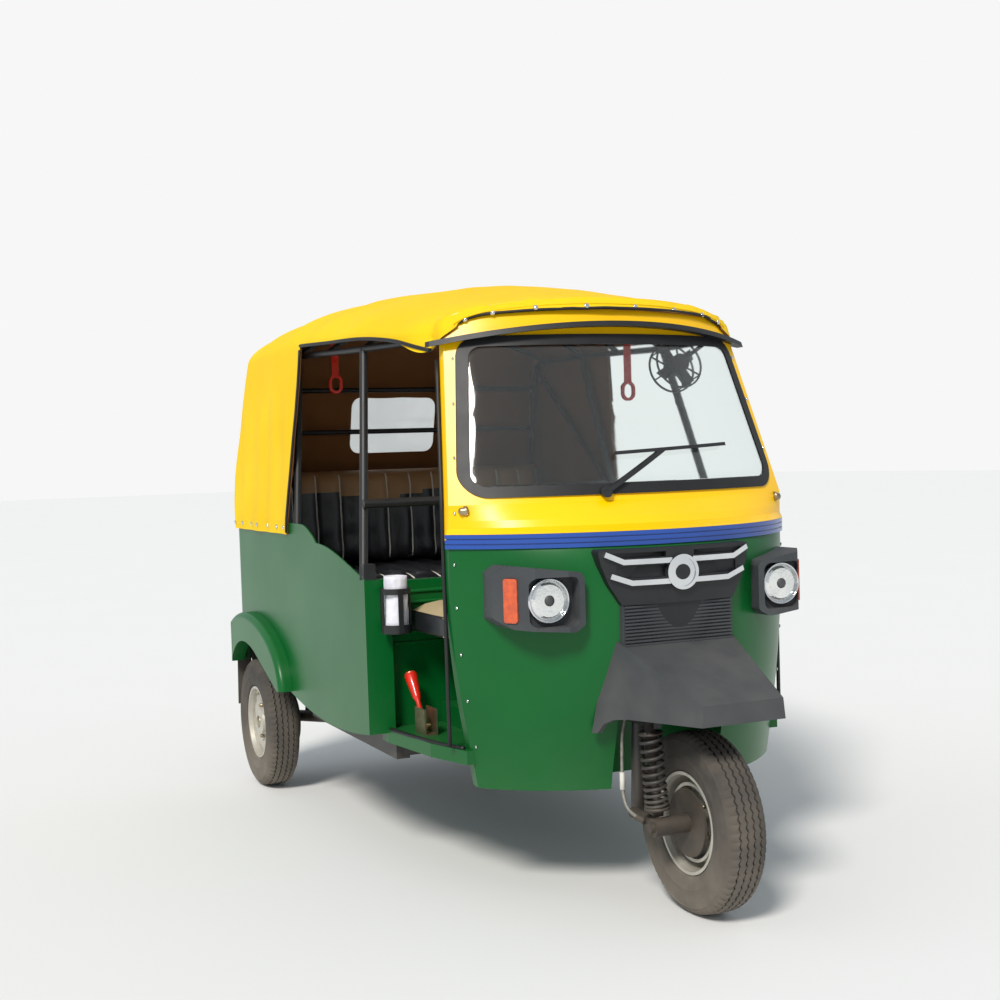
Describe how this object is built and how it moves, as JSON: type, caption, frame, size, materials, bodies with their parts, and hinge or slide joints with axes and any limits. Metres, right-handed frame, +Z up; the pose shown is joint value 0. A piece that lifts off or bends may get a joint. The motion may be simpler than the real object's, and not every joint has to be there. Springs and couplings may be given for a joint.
{
  "type": "auto rickshaw",
  "caption": "Three-wheeled passenger auto rickshaw with a painted cowl and tub, canvas canopy, curved windscreen and a single sprung front wheel.",
  "frame": {"origin": "centre of the footprint of the bounding box, on the ground", "axes": "-Y is forward, +X is the vehicle's left, +Z is up"},
  "size_m": [1.29, 2.464, 1.6865],
  "materials": {
    "green_paint": "gloss",
    "yellow_paint": "gloss",
    "blue_trim": "gloss",
    "black_tube": "satin",
    "black_plastic": "satin",
    "grey_plastic": "textured",
    "seal_rubber": "matte",
    "tyre_rubber": "matte",
    "screen_glass": "clear",
    "lamp_glass": "clear",
    "amber_lens": "gloss",
    "red_lens": "gloss",
    "bright_chrome": "polished",
    "wheel_steel": "satin",
    "yellow_canvas": "woven",
    "clear_sheet": "hazy",
    "black_vinyl": "satin",
    "zinc_steel": "satin",
    "dark_steel": "satin",
    "white_paper": "matte",
    "grey_metal": "matte",
    "flap_rubber": "matte",
    "red_plastic": "gloss",
    "hose_braid": "satin"
  },
  "bodies": {
    "chassis": {"floor_pan": "green_paint", "frame_rails": "black_tube", "steering_head": "black_tube", "cowl_lower": "green_paint", "cowl_upper": "yellow_paint", "belt_moulding": "blue_trim", "windscreen": "screen_glass", "windscreen_seal": "seal_rubber", "visor": "black_plastic", "wiper": "black_plastic", "grille_panel": "black_plastic", "grille_brightwork": "bright_chrome", "headlamp_housings": "grey_plastic", "headlamp_lenses": "lamp_glass", "indicators": "amber_lens", "front_mudguard": "grey_plastic", "wheel_housing": "green_paint", "dashboard": "black_plastic", "tub_side_right": "green_paint", "tub_side_left": "green_paint", "rear_panel": "green_paint", "fenders": "green_paint", "bulkhead": "green_paint", "seat_base": "green_paint", "rear_seat_cushion": "black_vinyl", "rear_seat_back": "black_vinyl", "driver_seat": "black_vinyl", "hood_frame": "black_tube", "hood_bows": "black_tube", "hand_straps": "red_plastic", "cab_fan": "grey_metal", "canopy": "yellow_canvas", "rear_window": "clear_sheet", "handbrake": "zinc_steel", "bottle_holder": "black_plastic", "holder_liner": "white_paper", "tail_lamps": "red_lens", "mud_flaps": "flap_rubber", "engine_block": "grey_metal", "exhaust": "dark_steel", "rear_axle": "dark_steel"},
    "steering": {"steering_column": "black_tube", "handlebar_grips": "seal_rubber", "front_link": "dark_steel", "front_shock": "dark_steel", "brake_hose": "hose_braid"},
    "front_wheel": {"front_rim": "wheel_steel", "front_tyre": "tyre_rubber"},
    "rear_wheel_right": {"rear_rim_right": "wheel_steel", "rear_tyre_right": "tyre_rubber"},
    "rear_wheel_left": {"rear_rim_left": "wheel_steel", "rear_tyre_left": "tyre_rubber"},
    "hatch": {"rear_hatch": "green_paint"}
  },
  "joints": [
    {"name": "steering_turn", "type": "hinge", "parent": "chassis", "child": "steering", "pos_m": [0, -0.8453, 0.6], "axis": [0, 0.309, 0.9511], "range_deg": [-35, 35]},
    {"name": "front_wheel_roll", "type": "hinge", "parent": "steering", "child": "front_wheel", "pos_m": [0, -1, 0.225], "axis": [1, 0, 0], "continuous": true},
    {"name": "rear_wheel_right_roll", "type": "hinge", "parent": "chassis", "child": "rear_wheel_right", "pos_m": [-0.56, 1, 0.225], "axis": [1, 0, 0], "continuous": true},
    {"name": "rear_wheel_left_roll", "type": "hinge", "parent": "chassis", "child": "rear_wheel_left", "pos_m": [0.56, 1, 0.225], "axis": [1, 0, 0], "continuous": true},
    {"name": "hatch_lift", "type": "hinge", "parent": "chassis", "child": "hatch", "pos_m": [0, 1.236, 0.798], "axis": [1, 0, 0], "range_deg": [0, 80]}
  ]
}
